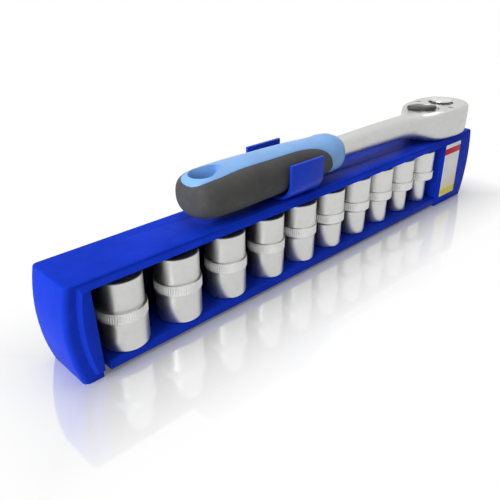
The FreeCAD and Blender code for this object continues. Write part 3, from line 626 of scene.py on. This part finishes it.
def make_handle_core():
    places = BUTT_PLACES + [x for x in stations(HANDLE, 3.0) if STRIPE_START < x < STRIPE_END - 0.1]
    places += NOSE_PLACES + [3.8, 4.0] + [x for x in stations(HANDLE, 1.5) if x > 4.2]
    piece = lofted("handle_moulding", [core_ring(x) for x in sorted(set(places))])
    carve(piece, hang_hole(), shaft_hole("tang_cutter", -50.1, 16.0, 5.06),
          shaft_hole("shaft_cutter", 14.4, 30.0, 7.5))
    round_edges(piece, 0.5, 3, 42)
    smooth(piece, 38)
    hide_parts("handle_core")
    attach(piece, "ratchet")
    return piece


def make_grip():
    places = BUTT_PLACES + [x for x in stations(HANDLE, 3.0) if x < STRIPE_END - 0.3]
    places += [STRIPE[1][0]] + NOSE_PLACES + [3.6]
    piece = lofted("handle_grip", [grip_ring(x) for x in sorted(set(places))])
    carve(piece, hang_hole())
    smooth(piece, 45)
    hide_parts("grip_inlay")
    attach(piece, "ratchet")
    return piece


def make_button():
    """The release button: a thin stem with a collar, and a disc with a rounded rim and a hollow for the thumb."""
    foot, top = heights_of("release_button")
    stem = [(0.0, 1.9), (0.3, 2.2), (0.7, 2.2), (0.7, 2.9), (2.3, 2.9), (2.3, 2.2)]
    rim = [(1.7, 2.2), (1.7, 7.4), (1.45, 7.85), (1.1, 8.0), (0.55, 8.0), (0.22, 7.86), (0.05, 7.5), (0.0, 7.0)]
    hollow = [(0.08, 6.4), (0.35, 5.2), (0.55, 3.4), (0.62, 1.4)]
    rings = [(foot + rise, radius) for rise, radius in stem]
    rings += [(top - drop, radius) for drop, radius in rim + hollow]
    piece = turned("release_button_disc", rings, 96, middle_of("release_button"))
    smooth(piece, 40)
    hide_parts("release_button")
    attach(piece, "button")
    return piece


def make_spring():
    """A wound spring under the disc, made at the height of the CAD spring."""
    x, y = middle_of("release_spring")
    foot, top = heights_of("release_spring")
    turns, points, wire, radius = 5, 24, 0.55, 3.65
    rings = []
    for number in range(turns * points + 1):
        angle = 2 * math.pi * number / points
        height = foot + wire + (top - foot - 2 * wire - 0.1) * number / (turns * points)
        ring = []
        for side in range(10):
            around = 2 * math.pi * side / 10
            reach = radius + wire * math.cos(around)
            rise = wire * math.sin(around)
            ring.append((x + reach * math.cos(angle), y + reach * math.sin(angle), height + rise))
        rings.append(ring)
    piece = lofted("release_spring_coil", rings)
    smooth(piece, 50)
    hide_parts("release_spring")
    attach(piece, "drive")
    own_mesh(piece)
    return piece


def make_label():
    low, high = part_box("label_plate")
    piece = block("label_film", [size / MM for size in low], [size / MM for size in high])
    take(piece)
    bpy.ops.object.mode_set(mode="EDIT")
    bpy.ops.mesh.select_mode(type="EDGE")
    bpy.ops.mesh.select_all(action="DESELECT")
    mesh = bmesh.from_edit_mesh(piece.data)
    for edge in mesh.edges:
        first, second = edge.verts
        edge.select = abs(first.co.y - second.co.y) > 1e-5
    mesh.select_flush_mode()
    bmesh.update_edit_mesh(piece.data)
    bpy.ops.mesh.bevel(offset=0.9 * MM, segments=5)
    bpy.ops.mesh.select_mode(type="VERT")
    bpy.ops.object.mode_set(mode="OBJECT")
    round_edges(piece, 0.08, 2, 50)
    smooth(piece)
    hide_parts("label_plate")
    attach(piece, "case")
    return piece


def make_softened(node, name, body, width, segments=2):
    piece = softened(node, name, width, segments)
    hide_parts(node)
    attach(piece, body)
    return piece


def make_clip():
    """The clip, with its back arm cut down to end just above the handle."""
    piece = make_softened("tool_clip", "clip_moulding", "case", 0.55, 3)
    low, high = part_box("tool_clip")
    start = (low.x / MM - 1, 0, high.z / MM - BACK_ARM_CUT)
    end = (high.x / MM + 1, high.y / MM + 1, high.z / MM + 1)
    carve(piece, block("back_arm_cutter", start, end))
    round_edges(piece, 0.4, 2, 50)
    return smooth(piece)


def link(tree, source, target):
    tree.links.new(source, target)


def feed(tree, value, target):
    """Sets an input to a number or a colour, or links it to a socket."""
    if isinstance(value, (int, float, tuple)):
        target.default_value = value
    else:
        link(tree, value, target)


def new_group(name, inputs, outputs):
    group = bpy.data.node_groups.new(name, "ShaderNodeTree")
    for label, kind, value in inputs:
        socket = group.interface.new_socket(label, in_out="INPUT", socket_type=kind)
        socket.default_value = value
    for label, kind in outputs:
        group.interface.new_socket(label, in_out="OUTPUT", socket_type=kind)
    return group, group.nodes.new("NodeGroupInput"), group.nodes.new("NodeGroupOutput")


def add_node(tree, kind, **settings):
    node = tree.nodes.new(kind)
    for name, value in settings.items():
        setattr(node, name, value)
    return node


def noise(tree, vector, scale, detail=3.0, roughness=0.55):
    node = add_node(tree, "ShaderNodeTexNoise")
    node.inputs["Detail"].default_value = detail
    node.inputs["Roughness"].default_value = roughness
    link(tree, vector, node.inputs["Vector"])
    feed(tree, scale, node.inputs["Scale"])
    return node.outputs["Fac"]


def ranged(tree, value, low, high, start=0.0, end=1.0):
    """A value mapped from low..high to start..end, where the ends are numbers or sockets."""
    node = add_node(tree, "ShaderNodeMapRange")
    link(tree, value, node.inputs["Value"])
    for label, size in (("From Min", low), ("From Max", high), ("To Min", start), ("To Max", end)):
        feed(tree, size, node.inputs[label])
    return node.outputs["Result"]


def maths(tree, operation, first, second):
    node = add_node(tree, "ShaderNodeMath", operation=operation)
    feed(tree, first, node.inputs[0])
    feed(tree, second, node.inputs[1])
    return node.outputs["Value"]


def mixed(tree, share, first, second):
    """A mix of two colours by a share, each given as a value or a socket."""
    node = add_node(tree, "ShaderNodeMix", data_type="RGBA")
    for socket, value in ((node.inputs["Factor"], share), (node.inputs[6], first), (node.inputs[7], second)):
        feed(tree, value, socket)
    return node.outputs[2]


def moulded_group():
    """Moulded plastic: fine spark grain, slow shade changes and lighter rubbed places."""
    group, given, out = new_group("moulded_grain", [
        ("Colour", "NodeSocketColor", (0.5, 0.5, 0.5, 1)),
        ("Rubbed Colour", "NodeSocketColor", (0.6, 0.6, 0.6, 1)),
        ("Grain Scale", "NodeSocketFloat", 2500.0), ("Smooth", "NodeSocketFloat", 0.35),
        ("Rough", "NodeSocketFloat", 0.5),
    ], [("Colour", "NodeSocketColor"), ("Roughness", "NodeSocketFloat"), ("Height", "NodeSocketFloat")])
    spot = add_node(group, "ShaderNodeTexCoord").outputs["Object"]
    grain = noise(group, spot, given.outputs["Grain Scale"], 2.0)
    slow = noise(group, spot, 35.0, 3.0)
    scuff = ranged(group, noise(group, spot, 190.0, 5.0, 0.7), 0.52, 0.72, 0.0, 0.3)
    shade = mixed(group, ranged(group, slow, 0.3, 0.7, 0.0, 0.22), given.outputs["Colour"], (0.0, 0.0, 0.02, 1))
    link(group, mixed(group, scuff, shade, given.outputs["Rubbed Colour"]), out.inputs["Colour"])
    rough = ranged(group, slow, 0.25, 0.75, given.outputs["Smooth"], given.outputs["Rough"])
    link(group, maths(group, "ADD", rough, ranged(group, grain, 0.3, 0.7, -0.03, 0.03)), out.inputs["Roughness"])
    link(group, grain, out.inputs["Height"])
    return group


def metal_group():
    """Satin metal: fine lines left by turning or brushing, soft clouds and faint finger marks."""
    group, given, out = new_group("satin_lines", [
        ("Colour", "NodeSocketColor", (0.6, 0.6, 0.6, 1)),
        ("Dull Colour", "NodeSocketColor", (0.5, 0.5, 0.5, 1)),
        ("Line Direction", "NodeSocketVector", (60.0, 60.0, 6000.0)), ("Smooth", "NodeSocketFloat", 0.2),
        ("Rough", "NodeSocketFloat", 0.35),
    ], [("Colour", "NodeSocketColor"), ("Roughness", "NodeSocketFloat"), ("Height", "NodeSocketFloat")])
    spot = add_node(group, "ShaderNodeTexCoord").outputs["Object"]
    stretch = add_node(group, "ShaderNodeVectorMath", operation="MULTIPLY")
    link(group, spot, stretch.inputs[0])
    link(group, given.outputs["Line Direction"], stretch.inputs[1])
    lines = noise(group, stretch.outputs["Vector"], 1.0, 3.0, 0.6)
    clouds = noise(group, spot, 60.0, 4.0, 0.6)
    marks = ranged(group, noise(group, spot, 240.0, 5.0, 0.65), 0.5, 0.75, 0.0, 0.6)
    link(group, mixed(group, marks, given.outputs["Colour"], given.outputs["Dull Colour"]), out.inputs["Colour"])
    both = maths(group, "ADD", maths(group, "MULTIPLY", lines, 0.5), maths(group, "MULTIPLY", clouds, 0.5))
    rough = ranged(group, both, 0.3, 0.7, given.outputs["Smooth"], given.outputs["Rough"])
    link(group, maths(group, "ADD", rough, maths(group, "MULTIPLY", marks, 0.1)), out.inputs["Roughness"])
    link(group, lines, out.inputs["Height"])
    return group


def finished_material(name, group, values, bump, depth, metallic=0.0, shine=0.5):
    material = bpy.data.materials.new(name)
    material.use_nodes = True
    tree = material.node_tree
    shader = tree.nodes["Principled BSDF"]
    shader.inputs["Metallic"].default_value = metallic
    shader.inputs["Specular IOR Level"].default_value = shine
    effect = add_node(tree, "ShaderNodeGroup", node_tree=group)
    for label, value in values.items():
        effect.inputs[label].default_value = value
    link(tree, effect.outputs["Colour"], shader.inputs["Base Color"])
    link(tree, effect.outputs["Roughness"], shader.inputs["Roughness"])
    relief = add_node(tree, "ShaderNodeBump")
    relief.inputs["Strength"].default_value = bump
    relief.inputs["Distance"].default_value = depth
    link(tree, effect.outputs["Height"], relief.inputs["Height"])
    link(tree, relief.outputs["Normal"], shader.inputs["Normal"])
    return material


def label_material():
    """White film with a yellow band along its foot and a red stripe near its top, by the height on the label."""
    low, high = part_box("label_plate")
    material = finished_material("label_print", moulded, {
        "Colour": (0.96, 0.96, 0.98, 1), "Rubbed Colour": (0.97, 0.97, 0.97, 1), "Grain Scale": 900.0,
        "Smooth": 0.3, "Rough": 0.42}, 0.05, 0.00005, shine=0.06)
    tree = material.node_tree
    shader = tree.nodes["Principled BSDF"]
    white = shader.inputs["Base Color"].links[0].from_socket
    parts = add_node(tree, "ShaderNodeSeparateXYZ")
    link(tree, add_node(tree, "ShaderNodeTexCoord").outputs["Object"], parts.inputs["Vector"])
    height = parts.outputs["Z"]
    foot = ranged(tree, height, low.z + 5.5 * MM, low.z + 6.2 * MM, 1.0, 0.0)
    fade = ranged(tree, height, low.z + 5.0 * MM, low.z + 17.0 * MM, 0.55, 0.0)
    banded = mixed(tree, maths(tree, "MAXIMUM", foot, fade), white, LABEL_YELLOW)
    above = ranged(tree, height, high.z - 8.2 * MM, high.z - 7.8 * MM, 0.0, 1.0)
    below = ranged(tree, height, high.z - 3.2 * MM, high.z - 2.8 * MM, 1.0, 0.0)
    stripe = maths(tree, "MULTIPLY", above, below)
    link(tree, mixed(tree, stripe, banded, LABEL_RED), shader.inputs["Base Color"])
    return material


def dress(piece, material):
    piece.data.materials.clear()
    piece.data.materials.append(material)


def paint_recess_shade(piece, material):
    """Paints shade on the faces inside the open recess: the back wall, the ceiling and the left wall take the
    near-black painted shade colour also used on the rack behind the sockets.
    """
    piece.data.materials.append(material)
    for face in piece.data.polygons:
        x, y, z = (size / MM for size in face.center)
        back = face.normal.y < -FACING and 5 < y < 16
        ceiling = face.normal.z < -FACING and z > 50.8 and y > -16
        left = face.normal.x > FACING and -174 < x < -160
        inside = RECESS_ENDS[0] < x < RECESS_ENDS[1] and RECESS_HEIGHTS[0] < z < RECESS_HEIGHTS[1]
        if inside and (back or ceiling or left):
            face.material_index = 1


def paint_knurl_sheen(piece, across, material):
    """Gives the knurled band of a socket a duller finish with a painted sheen: its lighter colour stands in for
    the light the pressed ribs scatter onto the shaded side.
    """
    piece.data.materials.append(material)
    x, y = middle_of(f"socket_{across}mm")
    _, band, _, band_low = SOCKETS[across]
    foot = heights_of(f"socket_{across}mm")[0] + band_low
    for face in piece.data.polygons:
        reach = math.hypot(face.center.x / MM - x, face.center.y / MM - y)
        if reach > band / 2 - 1 and foot < face.center.z / MM < foot + BAND_HEIGHT:
            face.material_index = 1


def floor_material():
    """A pale polished floor, near white to the camera, that still shows the shadow and a faint mirror image."""
    material = bpy.data.materials.new("studio_floor")
    material.use_nodes = True
    tree = material.node_tree
    shader = tree.nodes["Principled BSDF"]
    shader.inputs["Base Color"].default_value = (0.8, 0.8, 0.8, 1)
    shader.inputs["Roughness"].default_value = 0.6
    shader.inputs["Specular IOR Level"].default_value = 0.0
    glow = add_node(tree, "ShaderNodeEmission")
    path = add_node(tree, "ShaderNodeLightPath")
    blend = add_node(tree, "ShaderNodeMixShader")
    parts = add_node(tree, "ShaderNodeSeparateXYZ")
    link(tree, add_node(tree, "ShaderNodeTexCoord").outputs["Object"], parts.inputs["Vector"])
    beyond = maths(tree, "SUBTRACT", maths(tree, "ABSOLUTE", parts.outputs["X"], 0.0), FOOTPRINT[0])
    aside = maths(tree, "SUBTRACT", maths(tree, "ABSOLUTE", parts.outputs["Y"], 0.0), FOOTPRINT[1])
    clear = maths(tree, "MAXIMUM", aside, beyond)
    share = ranged(tree, clear, 0.0, 0.045, 0.15, 1.0)
    share = maths(tree, "MULTIPLY", path.outputs["Is Camera Ray"], share)
    share = maths(tree, "MAXIMUM", share, path.outputs["Is Glossy Ray"])
    link(tree, share, blend.inputs["Fac"])
    link(tree, shader.outputs["BSDF"], blend.inputs[1])
    link(tree, glow.outputs["Emission"], blend.inputs[2])
    mirror = add_node(tree, "ShaderNodeBsdfGlossy")
    mirror.inputs["Roughness"].default_value = 0.07
    polish = add_node(tree, "ShaderNodeMixShader")
    link(tree, ranged(tree, clear, 0.0, 0.062, 0.36, 0.0), polish.inputs["Fac"])
    link(tree, blend.outputs["Shader"], polish.inputs[1])
    link(tree, mirror.outputs["BSDF"], polish.inputs[2])
    link(tree, polish.outputs["Shader"], tree.nodes["Material Output"].inputs["Surface"])
    return material


def make_floor():
    clear_selection()
    bpy.ops.mesh.primitive_plane_add(size=14)
    floor = new_piece("studio_floor")
    dress(floor, floor_material())


def make_world():
    """White for what the camera and the metal see, softer for the light that falls on the set."""
    world = bpy.data.worlds.new("studio")
    bpy.context.scene.world = world
    world.use_nodes = True
    tree = world.node_tree
    sky = tree.nodes["Background"]
    path = add_node(tree, "ShaderNodeLightPath")
    seen = maths(tree, "MAXIMUM", path.outputs["Is Camera Ray"], path.outputs["Is Glossy Ray"])
    seen = maths(tree, "MAXIMUM", seen, path.outputs["Is Transmission Ray"])
    link(tree, ranged(tree, seen, 0.0, 1.0, 0.24, 1.0), sky.inputs["Strength"])
    sky.inputs["Color"].default_value = (1, 1, 1, 1)


def add_softbox(name, place, aim, size, power):
    light = bpy.data.lights.new(name, "AREA")
    light.shape = "RECTANGLE"
    light.size, light.size_y = size
    light.energy = power
    lamp = bpy.data.objects.new(name, light)
    bpy.context.scene.collection.objects.link(lamp)
    lamp.location = place
    way = [b - a for a, b in zip(place, aim)]
    flat = math.hypot(way[0], way[1])
    lamp.rotation_euler = (math.atan2(flat, -way[2]), 0, math.atan2(way[1], way[0]) - math.pi / 2)


def make_camera():
    lens = bpy.data.cameras.new("camera")
    lens.lens = 41.75
    lens.sensor_width = 36
    lens.clip_start = 0.01
    camera = bpy.data.objects.new("camera", lens)
    bpy.context.scene.collection.objects.link(camera)
    camera.location = (-0.27245, -0.2257, 0.1861)
    camera.rotation_euler = (math.radians(90 - 27.46), 0, math.radians(-43.84))
    bpy.context.scene.camera = camera


make_camera()
make_world()
make_floor()
add_softbox("left_softbox", (-1.05, 0.0, 0.5), (0, 0, 0.03), (0.8, 0.8), 13)
add_softbox("top_softbox", (0.1, 0.1, 1.2), (0, 0, 0.03), (1.0, 0.8), 7)

moulded = moulded_group()
satin = metal_group()
case_blue = finished_material("case_blue_moulding", moulded, {
    "Colour": (0.008, 0.040, 0.56, 1), "Rubbed Colour": (0.012, 0.06, 0.66, 1), "Grain Scale": 2200.0,
    "Smooth": 0.42, "Rough": 0.52}, 0.1, 0.0002, shine=0.02)
# Painted shade: a near-black blue that stands in for the deep shade on the rack and inside the recess. It is not a
# moulding colour of its own.
painted_shade_dark = finished_material("rack_painted_shade_moulding", moulded, {
    "Colour": (0.006, 0.008, 0.035, 1), "Rubbed Colour": (0.012, 0.016, 0.06, 1), "Grain Scale": 1800.0,
    "Smooth": 0.4, "Rough": 0.55}, 0.12, 0.0002, shine=0.15)
clip_blue = finished_material("clip_blue_moulding", moulded, {
    "Colour": (0.012, 0.056, 0.66, 1), "Rubbed Colour": (0.02, 0.085, 0.75, 1), "Grain Scale": 2600.0,
    "Smooth": 0.26, "Rough": 0.36}, 0.08, 0.0002, shine=0.08)
handle_blue = finished_material("handle_blue_moulding", moulded, {
    "Colour": (0.22, 0.45, 0.85, 1), "Rubbed Colour": (0.27, 0.51, 0.88, 1), "Grain Scale": 2400.0,
    "Smooth": 0.34, "Rough": 0.46}, 0.1, 0.0002, shine=0.3)
grip_grey = finished_material("grip_soft_grey", moulded, {
    "Colour": (0.078, 0.078, 0.074, 1), "Rubbed Colour": (0.115, 0.115, 0.108, 1), "Grain Scale": 1500.0,
    "Smooth": 0.62, "Rough": 0.78}, 0.35, 0.0003, shine=0.2)
lever_grey = finished_material("lever_dark_finish", moulded, {
    "Colour": (0.06, 0.06, 0.06, 1), "Rubbed Colour": (0.11, 0.11, 0.11, 1), "Grain Scale": 2000.0,
    "Smooth": 0.3, "Rough": 0.45}, 0.1, 0.0002, shine=0.3)
socket_chrome = finished_material("socket_satin_chrome", satin, {
    "Colour": (0.63, 0.63, 0.62, 1), "Dull Colour": (0.56, 0.56, 0.55, 1),
    "Line Direction": (40.0, 40.0, 5200.0), "Smooth": 0.33, "Rough": 0.43}, 0.12, 0.00008, 1.0)
# Painted sheen: the lighter colour and part-metal finish stand in for light scattered by the knurl's ribs. The
# higher roughness is the ribs' real dullness.
knurl_painted_sheen = finished_material("knurl_dull_chrome_painted_sheen", satin, {
    "Colour": (0.8, 0.8, 0.79, 1), "Dull Colour": (0.72, 0.72, 0.71, 1),
    "Line Direction": (40.0, 40.0, 5200.0), "Smooth": 0.5, "Rough": 0.6}, 0.1, 0.00008, 0.5)
forging_chrome = finished_material("forging_satin_chrome", satin, {
    "Colour": (0.56, 0.56, 0.55, 1), "Dull Colour": (0.49, 0.49, 0.48, 1),
    "Line Direction": (90.0, 1600.0, 1600.0), "Smooth": 0.34, "Rough": 0.46}, 0.1, 0.00008, 1.0)
button_chrome = finished_material("button_bright_chrome", satin, {
    "Colour": (0.7, 0.7, 0.69, 1), "Dull Colour": (0.6, 0.6, 0.59, 1),
    "Line Direction": (1200.0, 1200.0, 1200.0), "Smooth": 0.12, "Rough": 0.22}, 0.05, 0.00005, 1.0)
dark_steel = finished_material("oiled_steel", satin, {
    "Colour": (0.3, 0.3, 0.3, 1), "Dull Colour": (0.2, 0.2, 0.2, 1),
    "Line Direction": (400.0, 400.0, 3000.0), "Smooth": 0.3, "Rough": 0.42}, 0.1, 0.00008, 1.0)

case = make_softened("case_shell", "case_moulding", "case", 0.45)
dress(case, case_blue)
# Painted shade on the faces inside the case's recess.
paint_recess_shade(case, painted_shade_dark)
dress(make_softened("socket_tray", "tray_moulding", "case", 0.4), case_blue)
# The rack is dressed in the painted shade colour.
dress(make_softened("divider_rack", "rack_moulding", "case", 0.5), painted_shade_dark)
dress(make_clip(), clip_blue)
dress(make_label(), label_material())
for across in SOCKETS:
    socket = make_socket(across)
    dress(socket, socket_chrome)
    # Painted sheen on each socket's knurled band.
    paint_knurl_sheen(socket, across, knurl_painted_sheen)
dress(make_forging(), forging_chrome)
dress(make_cover(), forging_chrome)
dress(make_softened("cover_screws", "cover_screw_pair", "ratchet", 0.15), dark_steel)
dress(make_handle_core(), handle_blue)
dress(make_grip(), grip_grey)
dress(make_button(), button_chrome)
dress(make_spring(), dark_steel)
dress(make_lever(), lever_grey)
for node in ("drive_gear", "retaining_ball", "pawl", "pawl_plunger", "plunger_spring"):
    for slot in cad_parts[node].material_slots:
        slot.material = dark_steel

bpy.context.scene.view_settings.view_transform = "Standard"
